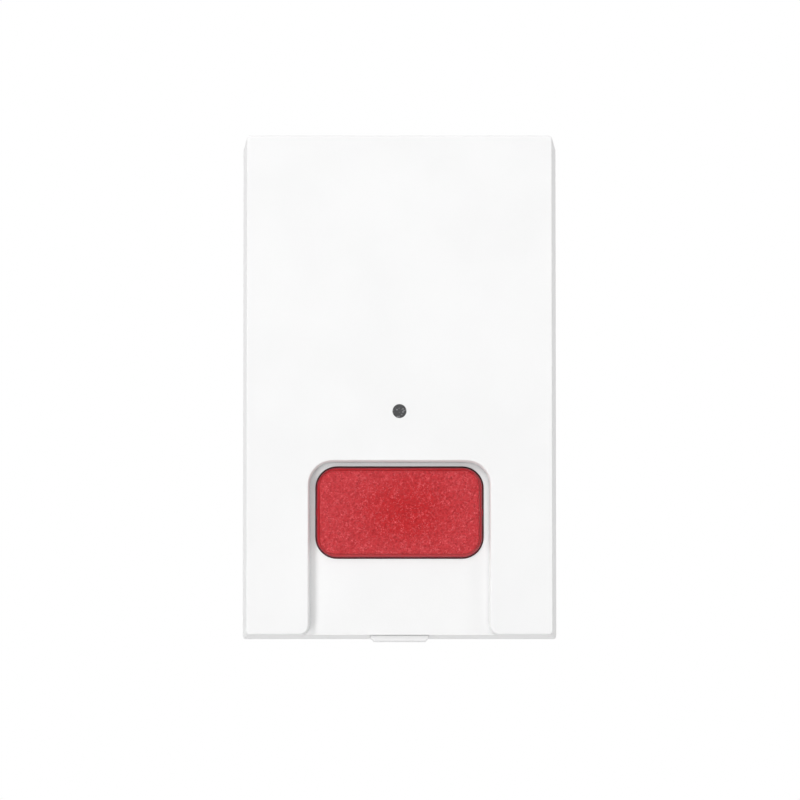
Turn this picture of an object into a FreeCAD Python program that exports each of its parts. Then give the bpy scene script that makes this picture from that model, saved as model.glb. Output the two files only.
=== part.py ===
import FreeCAD, Part
import math
import os

# Wall-mounted wireless panic button. Millimetres, +Z up, wall plane at Y = 0, front facing -Y.
# The origin is the centre of the wall face. Heights called *_RISE are above the bottom edge.

V = FreeCAD.Vector

# Housing
WIDTH = 56.0
HEIGHT = 88.2
DEPTH = 22.0
SIDE_INSET = 1.2
END_INSET = 0.3
CORNER_ROUND = 0.6
INNER_CORNER = 0.3
EDGE_ROUND = 0.25
REAR_ROUND = 0.4
BASE_ROUND = 0.25
WALL = 1.6
FRONT_WALL = 1.8
FLOOR = 2.0
PARTING = 0.1

# Rim of the rear base, inside the cover
RIM_FIT = 0.25
RIM_WALL = 1.4
RIM_HEIGHT = 5.4

# Red button
BUTTON_WIDTH = 29.1
BUTTON_HEIGHT = 15.8
BUTTON_CORNER = 3.6
BUTTON_RISE = 21.7
BUTTON_PROUD = 0.9
BUTTON_ROUND = 1.0
BUTTON_GAP = 0.22
BUTTON_WALL = 1.4
BUTTON_TRAVEL = 1.0
FLANGE_LIP = 1.2
FLANGE_THICK = 1.0
FLANGE_GAP = 0.1
GUIDE_GAP = 0.25
GUIDE_WALL = 1.2
RIB_THICK = 1.2

# Channel in the front, open at the bottom edge. The margins make its floor larger than the button.
CHANNEL_DEPTH = 2.0
CHANNEL_SIDE_MARGIN = 1.12
CHANNEL_TOP_MARGIN = 0.85
CHANNEL_CORNER = 3.95
CHANNEL_SPREAD = 0.3
CHANNEL_MOUTH_ROUND = 1.6

# Retainer behind the button, its two springs, two switch posts and two screws
RETAINER_THICK = 1.1
RETAINER_STROKE = 1.6
RETAINER_SLOT = 6.6
RETAINER_SLOT_CORNER = 1.0
EAR_OUT = 5.5
EAR_RADIUS = 2.75
BOSS_RADIUS = 2.5
SPRING_IN = 1.95
SPRING_RADIUS = 1.7
SPRING_WIRE = 0.35
SPRING_TURNS = 4
SPRING_SEAT_GAP = 0.05
WIRE_SIDES = 8
CUP_DEPTH = 1.1
CUP_WALL = 0.9
POST_SPACING = 6.0
POST_RADIUS = 1.6
POST_HOLE_GAP = 0.5

# Screws
PILOT_RADIUS = 1.15
SCREW_RADIUS = 1.1
SCREW_LENGTH = 4.6
SCREW_BEVEL = 0.45
HEAD_RADIUS = 2.1
HEAD_HEIGHT = 1.4
DRIVE_REACH = 1.25
DRIVE_WIDTH = 0.6
DRIVE_DEPTH = 0.7

# Indicator, above the channel
LIGHT_ABOVE = 8.95
LIGHT_RADIUS = 1.2
LIGHT_FIT = 0.03
LIGHT_FLANGE = 2.1
LIGHT_FLANGE_THICK = 1.0
LIGHT_SLEEVE_WALL = 0.9
LIGHT_SLEEVE_DEPTH = 2.6
LIGHT_END_GAP = 0.8
LED_HEIGHT = 1.2
LED_SIDE = 2.8
LED_DOME_RADIUS = 0.95
LED_DOME_BEVEL = 0.3

# Battery: cell lying across the top, as thick as the housing allows
CELL_DROP = 15.6
CELL_LENGTH = 34.5
CELL_NUB_RADIUS = 3.4
CELL_NUB_LENGTH = 1.1
CELL_FLOOR_GAP = 0.5
CELL_FRONT_GAP = 0.7
CELL_SIDE_GAP = 0.3
CRADLE_END_GAP = 1.75
CRADLE_END = 1.9
CRADLE_SIDE = 1.2
CRADLE_END_OVER = 3.0
CRADLE_TAIL_GAP = 0.6
CONTACT_THICK = 0.4
CONTACT_SIDE = 10.0
CONTACT_FIT = 0.05
CONTACT_BUMP = 0.9
CONTACT_GAP = 0.05
TAIL_WIDTH = 3.0
TAIL_FOOT = 2.4
TAIL_ON_BOARD = 3.2
COIL_RADIUS = 3.0
COIL_WIRE = 0.6
COIL_TURNS = 2

# Circuit board, between the bottom wall and the battery
BOARD_SIDE_GAP = 4.6
BOARD_LOW = 7.2
BOARD_CELL_GAP = 1.2
BOARD_THICK = 1.6
BOARD_CORNER = 1.0
BOARD_HOLE = 1.3
BOARD_SCREW_IN = 3.4
BOARD_SCREW_LOW = 4.0
BOARD_SCREW_HIGH = 7.4
BOARD_POST_RADIUS = 2.8
SOLDER = 0.02

# Push switches on the board
SWITCH_SIDE = 6.0
SWITCH_BODY = 3.5
SWITCH_CORNER = 0.5
SWITCH_COLLAR = 0.6
SWITCH_COLLAR_HEIGHT = 0.3
SWITCH_CLEARANCE = 1.5
STEM_RADIUS = 1.7
STEM_OUT = 1.0
STEM_IN = 0.9
STEM_BEVEL = 0.25
STEM_TRAVEL = 0.5
STEM_GAP = 0.05
STEM_BORE_GAP = 0.1
BORE_DEPTH = 2.8
TAMPER_TRAVEL = 0.8
TAMPER_POST_RADIUS = 1.6
TAMPER_FROM_SCREW = 5.5

# Other parts on the board; a SHARE is a place between the channel's top and the board's top
TAMPER_SHARE = 0.60
RADIO_SHARE = 0.59
RADIO_FROM_SCREW = 9.7
RADIO_WIDTH = 13.0
RADIO_HEIGHT = 12.0
RADIO_DEPTH = 2.4
SHEET = 0.3
CHIP_SHARE = 0.14
CHIP_X = 9.0
CHIP_SIDE = 7.0
CHIP_DEPTH = 0.9
CHIP_CORNER = 0.25
CHIP_DOT_RADIUS = 0.5
CHIP_DOT_INSET = 1.2
CHIP_DOT_DEPTH = 0.18
CRYSTAL_SHARE = 0.62
CRYSTAL_FROM_TAMPER = 7.4
CRYSTAL_LENGTH = 8.0
CRYSTAL_WIDTH = 3.8
CRYSTAL_DEPTH = 3.0
CRYSTAL_FOOT = 0.6
CAPACITOR_SHARE = 0.27
CAPACITOR_X = -10.4
CAPACITOR_RADIUS = 3.15
CAPACITOR_DEPTH = 5.6
CAPACITOR_FOOT = 0.8
CAPACITOR_GROOVE = 1.7
ANTENNA_FROM_SCREW = 0.2
ANTENNA_ABOVE = 2.75
ANTENNA_RADIUS = 2.0
ANTENNA_WIRE = 0.8
ANTENNA_SPACING = 1.8
ANTENNA_TURNS = 5
ANTENNA_LIFT = 3.2
ANTENNA_FOOT_RADIUS = 0.55
HEADER_IN = 3.9
HEADER_ABOVE_BUTTON = 7.9
HEADER_SPACING = 2.54
HEADER_PINS = 3
HEADER_PIN = 0.64
HEADER_PIN_BEVEL = 0.16
HEADER_BLOCK = 2.5
HEADER_CORNER = 0.3
HEADER_DEPTH = 4.8
RESISTOR_LENGTH = 2.0
RESISTOR_WIDTH = 1.2
RESISTOR_DEPTH = 0.6
RESISTOR_BEVEL = 0.1
RESISTOR_XS = (-4.6, -4.6, -4.6, 2.5, 2.5, 14.6, -3.0, -9.0)
RESISTOR_SHARES = (0.25, 0.14, 0.03, 0.04, 0.14, 0.28, 0.80, 0.80)

# Wall screw holes; the upper one is behind the cell
WALL_HOLE_LOW = 12.6
WALL_HOLE_RADIUS = 2.2
WALL_HEAD_RADIUS = 3.7
WALL_ACCESS_RADIUS = 4.3

# Hooks at the top, which hold the cover while it swings
HOOK_WIDTH = 5.0
HOOK_START = 1.5
HOOK_END = 3.1
HOOK_BITE = 0.9
HOOK_SLOPE = 0.75
WINDOW_SIDE_GAP = 0.4
WINDOW_REAR_GAP = 0.4
WINDOW_FRONT_GAP = 0.35

# Latch tongue at the bottom
PAD_WIDTH = 10.1
PAD_BELOW = 0.8
PAD_FRONT_GAP = 0.5
PAD_LENGTH = 6.4
PAD_CHAMFER = 0.5
PAD_EDGE_ROUND = 0.15
PAD_LIP = 1.7
PAD_LIP_GAP = 0.06
PAD_LIP_INSET = 0.35
PAD_WALL = 1.3
NOTCH_GAP = 0.12
TONGUE_LIFT = 1.5
TONGUE_THICK = 1.5
TONGUE_SLIT = 0.8
WING_REACH = 3.0
WING_THICK = 1.7
CATCH_THICK = 1.2
CATCH_GAP = 0.1
CATCH_BITE = 0.6
CATCH_SIDE_GAP = 0.7

# Reach of a cut beyond the surface it opens
OVERRUN = 2.0

# Depths of the main planes
FRONT = -DEPTH
FRONT_INNER = FRONT + FRONT_WALL
CHANNEL_FLOOR = FRONT + CHANNEL_DEPTH
CHANNEL_INNER = CHANNEL_FLOOR + WALL
COVER_REAR = -FLOOR - PARTING
RIM_FRONT = -FLOOR - RIM_HEIGHT
FLANGE_FRONT = CHANNEL_INNER + FLANGE_GAP
FLANGE_BACK = FLANGE_FRONT + FLANGE_THICK
RETAINER_FRONT = FLANGE_BACK + BUTTON_TRAVEL + RETAINER_STROKE
RETAINER_BACK = RETAINER_FRONT + RETAINER_THICK
CUP_FLOOR = RETAINER_FRONT + CUP_DEPTH
SWITCH_FRONT = RETAINER_BACK + SWITCH_CLEARANCE
BOARD_FRONT = SWITCH_FRONT + SWITCH_BODY
BOARD_BACK = BOARD_FRONT + BOARD_THICK
STEM_TIP = SWITCH_FRONT - STEM_OUT
POST_TIP = STEM_TIP - STEM_GAP - (BUTTON_TRAVEL - STEM_TRAVEL)
CELL_RADIUS = (DEPTH - FRONT_WALL - FLOOR - CELL_FLOOR_GAP - CELL_FRONT_GAP) / 2
CELL_Y = -FLOOR - CELL_FLOOR_GAP - CELL_RADIUS
CRADLE_END_FRONT = CELL_Y - CRADLE_END_OVER
CRADLE_SIDE_FRONT = BOARD_FRONT + CRADLE_TAIL_GAP

# Places across and up the housing that follow from the sizes above
CHANNEL_HALF = BUTTON_WIDTH / 2 + CHANNEL_SIDE_MARGIN
CHANNEL_RISE = BUTTON_RISE + BUTTON_HEIGHT / 2 + CHANNEL_TOP_MARGIN
LIGHT_RISE = CHANNEL_RISE + LIGHT_ABOVE
EAR_X = BUTTON_WIDTH / 2 + EAR_OUT
SPRING_X = BUTTON_WIDTH / 2 - SPRING_IN
POST_X = SPRING_X - POST_SPACING
CELL_RISE = HEIGHT - CELL_DROP
CRADLE_HALF = CELL_LENGTH / 2 + CRADLE_END_GAP
WALL_HOLE_RISES = (WALL_HOLE_LOW, CELL_RISE)
BOARD_HALF = WIDTH / 2 - BOARD_SIDE_GAP
BOARD_TOP = CELL_RISE - CELL_RADIUS - CELL_SIDE_GAP - CRADLE_SIDE - BOARD_CELL_GAP
BOARD_SCREW_X = BOARD_HALF - BOARD_SCREW_IN
BOARD_SCREW_RISES = (BOARD_LOW + BOARD_SCREW_LOW, BOARD_TOP - BOARD_SCREW_HIGH)
TAIL_END_RISE = BOARD_TOP - TAIL_ON_BOARD
TAMPER_X = TAMPER_FROM_SCREW - BOARD_SCREW_X
CRYSTAL_X = TAMPER_X + CRYSTAL_FROM_TAMPER
RADIO_X = BOARD_SCREW_X - RADIO_FROM_SCREW
ANTENNA_X = BOARD_SCREW_X + ANTENNA_FROM_SCREW
ANTENNA_RISE = CHANNEL_RISE + ANTENNA_ABOVE
HEADER_X = HEADER_IN - BOARD_HALF
HEADER_RISE = BUTTON_RISE + HEADER_ABOVE_BUTTON
HOOK_X = WIDTH / 4


def up(rise):
    """Height above the bottom edge as a Z of the shared frame."""
    return rise - HEIGHT / 2


def board_rise(share):
    """Place between the channel's top and the board's top."""
    return CHANNEL_RISE + share * (BOARD_TOP - CHANNEL_RISE)


def box(x0, x1, y0, y1, z0, z1):
    low = V(min(x0, x1), min(y0, y1), min(z0, z1))
    return Part.makeBox(abs(x1 - x0), abs(y1 - y0), abs(z1 - z0), low)


def rod(x, z, radius, y0, y1):
    """Round bar along Y."""
    return Part.makeCylinder(radius, abs(y1 - y0), V(x, min(y0, y1), z), V(0, 1, 0))


def rounded_wire(x, z, width, height, corner, y):
    """Rectangle with round corners in the plane at depth y."""
    right, top = width / 2 - corner, height / 2 - corner
    centres = [(right, top, 0), (-right, top, 90), (-right, -top, 180), (right, -top, 270)]
    arcs = []
    for cx, cz, start in centres:
        angles = [math.radians(start + part) for part in (0, 45, 90)]
        spots = [V(x + cx + corner * math.cos(a), y, z + cz + corner * math.sin(a)) for a in angles]
        arcs.append(Part.Arc(*spots).toShape())
    edges = []
    for arc, following in zip(arcs, arcs[1:] + arcs[:1]):
        edges += [arc, Part.makeLine(arc.lastVertex().Point, following.firstVertex().Point)]
    return Part.Wire(edges)


def slab(wire, thickness):
    """Plate from a closed outline, towards +Y for a positive thickness."""
    return Part.Face(wire).extrude(V(0, thickness, 0))


def rounded_block(x, z, width, height, corner, y0, y1):
    return slab(rounded_wire(x, z, width, height, corner, y0), y1 - y0)


def edges_where(shape, test):
    return [edge for edge in shape.Edges if test(edge)]


def near(value, target, reach=0.02):
    return abs(value - target) < reach


def prism_x(outline, x0, x1):
    """Outline of (y, z) points swept from x0 to x1."""
    points = [V(x0, y, z) for y, z in outline]
    return Part.Face(Part.makePolygon(points + points[:1])).extrude(V(x1 - x0, 0, 0))


def prism_z(outline, z0, z1):
    """Outline of (x, y) points swept from z0 to z1."""
    points = [V(x, y, z0) for x, y in outline]
    return Part.Face(Part.makePolygon(points + points[:1])).extrude(V(0, 0, z1 - z0))


def housing(y0, y1, inset):
    """Tapered block with rounded corners between two depths, its outline moved inwards by inset."""
    across, upright = [], []
    for y, side in ((y0, 1), (y0, -1), (y1, -1), (y1, 1)):
        share = -y / DEPTH
        across.append((side * (WIDTH / 2 - SIDE_INSET * share - inset), y))
        upright.append((y, side * (HEIGHT / 2 - END_INSET * share - inset)))
    block = prism_z(across, -HEIGHT, HEIGHT).common(prism_x(upright, -WIDTH, WIDTH))
    slanted = edges_where(block, lambda edge: edge.BoundBox.YLength > abs(y1 - y0) / 2)
    return block.makeFillet(max(CORNER_ROUND - inset, INNER_CORNER), slanted)


def side_inner(y):
    """Inner half width of the cover at depth y."""
    return WIDTH / 2 - SIDE_INSET * -y / DEPTH - WALL


def bottom_inner(y):
    """Height of the inner face of the cover's bottom wall at depth y."""
    return up(END_INSET * -y / DEPTH + WALL)


def channel_wire(y, grow):
    """Inverted U with a lean, widest at the front face."""
    out = CHANNEL_SPREAD * (CHANNEL_FLOOR - y) / CHANNEL_DEPTH + grow
    half, top, corner = CHANNEL_HALF + out, up(CHANNEL_RISE) + out, CHANNEL_CORNER + out
    low = up(0) - OVERRUN
    turn = corner * (1 - math.sqrt(0.5))
    left_arc = Part.Arc(V(-half, y, top - corner), V(turn - half, y, top - turn), V(corner - half, y, top))
    right_arc = Part.Arc(V(half - corner, y, top), V(half - turn, y, top - turn), V(half, y, top - corner))
    return Part.Wire([
        Part.makeLine(V(-half, y, low), V(-half, y, top - corner)),
        left_arc.toShape(),
        Part.makeLine(V(corner - half, y, top), V(half - corner, y, top)),
        right_arc.toShape(),
        Part.makeLine(V(half, y, top - corner), V(half, y, low)),
        Part.makeLine(V(half, y, low), V(-half, y, low)),
    ])


def cover_outside():
    """Tapered block with the channel sunk in its front and its edges rounded."""
    block = housing(COVER_REAR, FRONT, 0)
    beyond = FRONT - CHANNEL_DEPTH
    channel = Part.makeLoft([channel_wire(CHANNEL_FLOOR, 0), channel_wire(beyond, 0)], True, True)
    block = block.cut(channel)

    def at_mouth(edge):
        ends = [v.Point for v in edge.Vertexes]
        low = all(p.z < up(2 * END_INSET) and abs(p.x) < CHANNEL_HALF + 3 * CHANNEL_SPREAD for p in ends)
        return low and abs(ends[0].y - ends[-1].y) > CHANNEL_DEPTH / 2

    block = block.makeFillet(CHANNEL_MOUTH_ROUND, edges_where(block, at_mouth))

    def on_front(edge):
        return near(edge.BoundBox.YMin, FRONT) and near(edge.BoundBox.YMax, FRONT)

    block = block.makeFillet(EDGE_ROUND, edges_where(block, on_front))

    def on_rear(edge):
        return near(edge.BoundBox.YMin, COVER_REAR) and near(edge.BoundBox.YMax, COVER_REAR)

    return block.makeFillet(REAR_ROUND, edges_where(block, on_rear))


def guide_size(extra):
    """Width and height of the button's flange, grown by extra on every side."""
    grow = 2 * (FLANGE_LIP + extra)
    return BUTTON_WIDTH + grow, BUTTON_HEIGHT + grow, BUTTON_CORNER + grow / 2


def button_guide():
    """Collar inside the cover that guides the button's flange."""
    z = up(BUTTON_RISE)
    start = (CHANNEL_FLOOR + CHANNEL_INNER) / 2
    outer = rounded_block(0, z, *guide_size(GUIDE_GAP + GUIDE_WALL), start, RETAINER_FRONT)
    inner = rounded_block(0, z, *guide_size(GUIDE_GAP), CHANNEL_INNER, RETAINER_FRONT)
    return outer.cut(inner)


def cover_bosses():
    """Two screw bosses beside the collar, each tied to it by a rib."""
    z = up(BUTTON_RISE)
    root = (FRONT + FRONT_INNER) / 2
    guide_half = guide_size(GUIDE_GAP + GUIDE_WALL)[0] / 2
    parts = []
    for side in (-1, 1):
        parts.append(rod(side * EAR_X, z, BOSS_RADIUS, root, RETAINER_FRONT))
        inner_x = side * (guide_half - GUIDE_WALL / 2)
        parts.append(box(inner_x, side * EAR_X, root, RETAINER_FRONT, z - RIB_THICK / 2, z + RIB_THICK / 2))
    return parts


def cover_pilots():
    depth = RETAINER_FRONT - SCREW_LENGTH - PARTING
    return [rod(side * EAR_X, up(BUTTON_RISE), PILOT_RADIUS, depth, RETAINER_FRONT) for side in (-1, 1)]


def light_sleeve():
    return rod(0, up(LIGHT_RISE), LIGHT_FLANGE + LIGHT_FIT + LIGHT_SLEEVE_WALL,
               (FRONT + FRONT_INNER) / 2, FRONT_INNER + LIGHT_SLEEVE_DEPTH)


def light_bore():
    z = up(LIGHT_RISE)
    window = rod(0, z, LIGHT_RADIUS + LIGHT_FIT, FRONT - OVERRUN, FRONT_INNER)
    seat = rod(0, z, LIGHT_FLANGE + LIGHT_FIT, FRONT_INNER, FRONT_INNER + LIGHT_SLEEVE_DEPTH)
    return [window, seat]


def tamper_post():
    """Round post with two crossed webs that holds the tamper switch down."""
    z, root = up(board_rise(TAMPER_SHARE)), (FRONT + FRONT_INNER) / 2
    tip = STEM_TIP + TAMPER_TRAVEL - STEM_GAP
    foot = (root + 2 * tip) / 3
    web, reach = RIB_THICK / 2, 2 * TAMPER_POST_RADIUS
    return [
        rod(TAMPER_X, z, TAMPER_POST_RADIUS, root, tip),
        box(TAMPER_X - reach, TAMPER_X + reach, root, foot, z - web, z + web),
        box(TAMPER_X - web, TAMPER_X + web, root, foot, z - reach, z + reach),
    ]


def stiffening_ribs():
    """Low ribs behind the front wall, between the channel and the battery."""
    root, crest = (FRONT + FRONT_INNER) / 2, FRONT_INNER + WALL
    low = up(CHANNEL_RISE + CHANNEL_SPREAD)
    high = up(CELL_RISE - CELL_RADIUS - WALL)
    half = RIB_THICK / 2
    ribs = [box(x - half, x + half, root, crest, low, high) for x in (-CHANNEL_HALF / 2, CHANNEL_HALF / 2)]
    edge = side_inner(FRONT_INNER) + WALL / 2
    ribs.append(box(-edge, edge, root, crest, high - RIB_THICK, high))
    return ribs


def hook_outline():
    """Section of one top hook, as (y, z) points."""
    roof = up(HEIGHT) - WALL / 2
    tip = up(HEIGHT) - WALL - RIM_FIT - HOOK_BITE
    back, front = COVER_REAR - HOOK_START, COVER_REAR - HOOK_END
    return [(back, roof), (back, tip), (front + HOOK_SLOPE, tip), (front, tip + HOOK_SLOPE), (front, roof)]


def cover_hooks():
    half = HOOK_WIDTH / 2
    return [prism_x(hook_outline(), x - half, x + half) for x in (-HOOK_X, HOOK_X)]


def wing_front():
    return CHANNEL_INNER + PAD_FRONT_GAP


def wing_back():
    return wing_front() + WING_THICK


def cover_catches():
    """Two short ribs behind the wings of the latch tongue."""
    front = wing_back() + CATCH_GAP
    low = bottom_inner(front) - WALL / 2
    top = bottom_inner(wing_front()) + TONGUE_LIFT + CATCH_BITE
    inner = PAD_WIDTH / 2 + NOTCH_GAP + CATCH_SIDE_GAP
    outer = PAD_WIDTH / 2 + WING_REACH
    return [box(side * inner, side * outer, front, front + CATCH_THICK, low, top) for side in (-1, 1)]


def latch_notch():
    """Cut in the cover's bottom wall, open to the rear, through which the pad stands out."""
    half = PAD_WIDTH / 2 + NOTCH_GAP
    top = bottom_inner(CHANNEL_INNER) + PARTING
    return box(-half, half, CHANNEL_INNER, COVER_REAR + OVERRUN, up(0) - OVERRUN, top)


def front_cover():
    shape = cover_outside()
    backing = slab(channel_wire(FRONT, WALL), CHANNEL_INNER - FRONT)
    hollow = housing(COVER_REAR, FRONT_INNER, WALL).cut(backing)
    shape = shape.cut(hollow)
    additions = [button_guide(), light_sleeve()] + cover_bosses() + tamper_post()
    additions += stiffening_ribs() + cover_hooks() + cover_catches()
    shape = shape.fuse(additions)
    width, height = BUTTON_WIDTH + 2 * BUTTON_GAP, BUTTON_HEIGHT + 2 * BUTTON_GAP
    opening = rounded_block(0, up(BUTTON_RISE), width, height, BUTTON_CORNER + BUTTON_GAP,
                            FRONT, CHANNEL_INNER)
    return shape.cut([opening, latch_notch()] + light_bore() + cover_pilots()).removeSplitter()


def wall_hole(rise):
    """Screw hole through the floor, countersunk from inside."""
    z = up(rise)
    straight = rod(0, z, WALL_HOLE_RADIUS, -FLOOR - OVERRUN, OVERRUN)
    sink = WALL_HEAD_RADIUS - WALL_HOLE_RADIUS
    cone = Part.makeCone(WALL_HEAD_RADIUS, WALL_HOLE_RADIUS, sink, V(0, -FLOOR, z), V(0, 1, 0))
    return [straight, cone]


def base_rim():
    """Wall that stands inside the cover all round."""
    outer = housing(-FLOOR, RIM_FRONT, WALL + RIM_FIT)
    inner = housing(-FLOOR, RIM_FRONT, WALL + RIM_FIT + RIM_WALL)
    return outer.cut(inner)


def rim_cuts():
    """Windows for the hooks and the break in the rim for the latch tongue."""
    back = COVER_REAR - HOOK_START + WINDOW_REAR_GAP
    front = COVER_REAR - HOOK_END - WINDOW_FRONT_GAP
    half = HOOK_WIDTH / 2 + WINDOW_SIDE_GAP
    high = up(HEIGHT) - WALL / 2
    low = up(HEIGHT) - WALL - RIM_FIT - 2 * RIM_WALL
    cuts = [box(x - half, x + half, back, front, low, high) for x in (-HOOK_X, HOOK_X)]
    slit = PAD_WIDTH / 2 + TONGUE_SLIT
    cuts.append(box(-slit, slit, -FLOOR, RIM_FRONT, up(0), bottom_inner(0) + RIM_FIT + 2 * RIM_WALL))
    return cuts


def board_posts():
    spots = [(x, rise) for x in (-BOARD_SCREW_X, BOARD_SCREW_X) for rise in BOARD_SCREW_RISES]
    posts = [rod(x, up(rise), BOARD_POST_RADIUS, -FLOOR / 2, BOARD_BACK) for x, rise in spots]
    pilots = [rod(x, up(rise), PILOT_RADIUS, -FLOOR / 2, BOARD_BACK) for x, rise in spots]
    return posts, pilots


def battery_cradle():
    """Open box for the cell: two end walls with contact pockets and two low side walls."""
    z = up(CELL_RISE)
    inside = CELL_RADIUS + CELL_SIDE_GAP
    length = CRADLE_HALF + CRADLE_END
    parts = []
    for side in (-1, 1):
        wall = box(side * CRADLE_HALF, side * length, -FLOOR / 2, CRADLE_END_FRONT,
                   z - inside - CRADLE_SIDE, z + inside + CRADLE_SIDE)
        half = CONTACT_SIDE / 2 + CONTACT_FIT
        reach = CONTACT_THICK + 2 * CONTACT_FIT
        pocket = box(side * CRADLE_HALF, side * (CRADLE_HALF + reach), CELL_Y + half,
                     CRADLE_END_FRONT - OVERRUN, z - half, z + half)
        parts.append(wall.cut([pocket, tail_slot(side)]))
    for low in (z - inside - CRADLE_SIDE, z + inside):
        parts.append(box(-length, length, -FLOOR / 2, CRADLE_SIDE_FRONT, low, low + CRADLE_SIDE))
    return parts


def tail_slot(side):
    """Slot in an end wall through which the contact's tail leaves downwards."""
    reach = CONTACT_THICK + 2 * CONTACT_FIT
    low = up(CELL_RISE) - CELL_RADIUS - CELL_SIDE_GAP - CRADLE_SIDE - OVERRUN
    return box(side * CRADLE_HALF, side * (CRADLE_HALF + reach), BOARD_FRONT,
               CRADLE_END_FRONT - OVERRUN, low, up(CELL_RISE))


def latch_tongue():
    """Springy tongue with side wings and a hollow pad whose lip reaches forward below the housing."""
    low = bottom_inner(wing_front()) + TONGUE_LIFT
    high = low + TONGUE_THICK
    half = PAD_WIDTH / 2
    front, back = wing_front(), wing_back()
    foot = up(0) - PAD_BELOW
    blade = box(-half, half, -FLOOR / 2, front, low, high)
    wings = box(-half - WING_REACH, half + WING_REACH, front, back, low, high)
    pad = box(-half, half, front, front + PAD_LENGTH, foot, high)
    lip_top = up(END_INSET * -front / DEPTH) - PAD_LIP_GAP
    tip, toe = front - PAD_LIP, front - PAD_LIP + PAD_LIP_INSET
    lip = prism_x([(tip, lip_top), (toe, foot), (front, foot), (front, lip_top)], -half, half)
    pad = pad.fuse(lip).removeSplitter()

    def low_side(edge):
        return near(edge.BoundBox.ZMax, foot) and edge.BoundBox.YLength > PAD_LENGTH / 2

    def lip_outline(edge):
        return edge.BoundBox.YMax < toe + PAD_EDGE_ROUND and edge.BoundBox.ZMin < lip_top - PAD_EDGE_ROUND

    pad = pad.makeChamfer(PAD_CHAMFER, edges_where(pad, low_side))
    pad = pad.makeFillet(PAD_EDGE_ROUND, edges_where(pad, lip_outline))
    pocket = box(-half + PAD_WALL, half - PAD_WALL, front + PAD_WALL, front + PAD_LENGTH - PAD_WALL,
                 foot + PAD_WALL, high + OVERRUN)
    return blade.fuse([pad, wings]).cut(pocket)


def rear_base():
    posts, pilots = board_posts()
    floor = housing(0, -FLOOR, 0)
    floor = floor.makeFillet(BASE_ROUND, edges_where(floor, lambda edge: edge.BoundBox.YLength < FLOOR / 2))
    rim = base_rim().cut(rim_cuts())
    shape = floor.fuse([rim, latch_tongue()] + posts + battery_cradle())
    cuts = list(pilots)
    for rise in WALL_HOLE_RISES:
        cuts += wall_hole(rise)
    return shape.cut(cuts).removeSplitter()


def button_cap():
    """Hollow cap with a rounded front, a flange, two switch posts and two spring pegs."""
    z = up(BUTTON_RISE)
    face = CHANNEL_FLOOR - BUTTON_PROUD
    cap = rounded_block(0, z, BUTTON_WIDTH, BUTTON_HEIGHT, BUTTON_CORNER, face, FLANGE_BACK)
    cap = cap.makeFillet(BUTTON_ROUND, edges_where(cap, lambda edge: near(edge.BoundBox.YMax, face)))
    flange = rounded_block(0, z, *guide_size(0), FLANGE_FRONT, FLANGE_BACK)
    hollow = rounded_block(0, z, BUTTON_WIDTH - 2 * BUTTON_WALL, BUTTON_HEIGHT - 2 * BUTTON_WALL,
                           BUTTON_CORNER - BUTTON_WALL, face + BUTTON_WALL, FLANGE_BACK)
    cap = cap.fuse(flange).cut(hollow)
    inner = face + BUTTON_WALL / 2
    additions = [rod(side * POST_X, z, POST_RADIUS, inner, POST_TIP) for side in (-1, 1)]
    for side in (-1, 1):
        seat = rod(side * SPRING_X, z, SPRING_RADIUS + SPRING_WIRE, inner, FLANGE_BACK)
        peg = rod(side * SPRING_X, z, SPRING_RADIUS - 2 * SPRING_WIRE, inner,
                  FLANGE_BACK + FLANGE_THICK / 2)
        additions += [seat, peg]
    web = BUTTON_WALL / 2
    edge = BUTTON_WIDTH / 2 - BUTTON_WALL / 2
    additions.append(box(-edge, edge, inner, FLANGE_BACK, z - web / 2, z + web / 2))
    return cap.fuse(additions).removeSplitter()


def light_pipe():
    """Turned guide: window, flange against the cover, and a stalk that ends over the lamp."""
    window, flange = LIGHT_RADIUS, LIGHT_FLANGE
    end = BOARD_FRONT - LED_HEIGHT - LIGHT_END_GAP
    steps = [(0, FRONT), (window, FRONT), (window, FRONT_INNER), (flange, FRONT_INNER),
             (flange, FRONT_INNER + LIGHT_FLANGE_THICK), (window, FRONT_INNER + LIGHT_FLANGE_THICK),
             (window, end), (0, end)]
    points = [V(x, y, 0) for x, y in steps]
    face = Part.Face(Part.makePolygon(points + points[:1]))
    return face.revolve(V(0, 0, 0), V(0, 1, 0), 360).translated(V(0, 0, up(LIGHT_RISE)))


def button_retainer():
    """Plate with ears, two spring cups and two holes for the switch posts."""
    z = up(BUTTON_RISE)
    width, height, corner = guide_size(GUIDE_GAP + GUIDE_WALL)
    plate = rounded_block(0, z, width, height, corner, RETAINER_FRONT, RETAINER_BACK)
    ears = rounded_block(0, z, 2 * (EAR_X + EAR_RADIUS), 2 * EAR_RADIUS, EAR_RADIUS - PARTING,
                         RETAINER_FRONT, RETAINER_BACK)
    bore = SPRING_RADIUS + SPRING_WIRE
    cups = [rod(side * SPRING_X, z, bore + CUP_WALL, RETAINER_FRONT, CUP_FLOOR + CUP_WALL)
            for side in (-1, 1)]
    cuts = [rounded_block(0, z, RETAINER_SLOT, height / 2, RETAINER_SLOT_CORNER,
                          RETAINER_FRONT, RETAINER_BACK)]
    for side in (-1, 1):
        cuts.append(rod(side * SPRING_X, z, bore, RETAINER_FRONT, CUP_FLOOR))
        cuts.append(rod(side * POST_X, z, POST_RADIUS + POST_HOLE_GAP, RETAINER_FRONT, RETAINER_BACK))
        cuts.append(rod(side * EAR_X, z, BOARD_HOLE, RETAINER_FRONT, RETAINER_BACK))
    return plate.fuse([ears] + cups).cut(cuts).removeSplitter()


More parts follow.
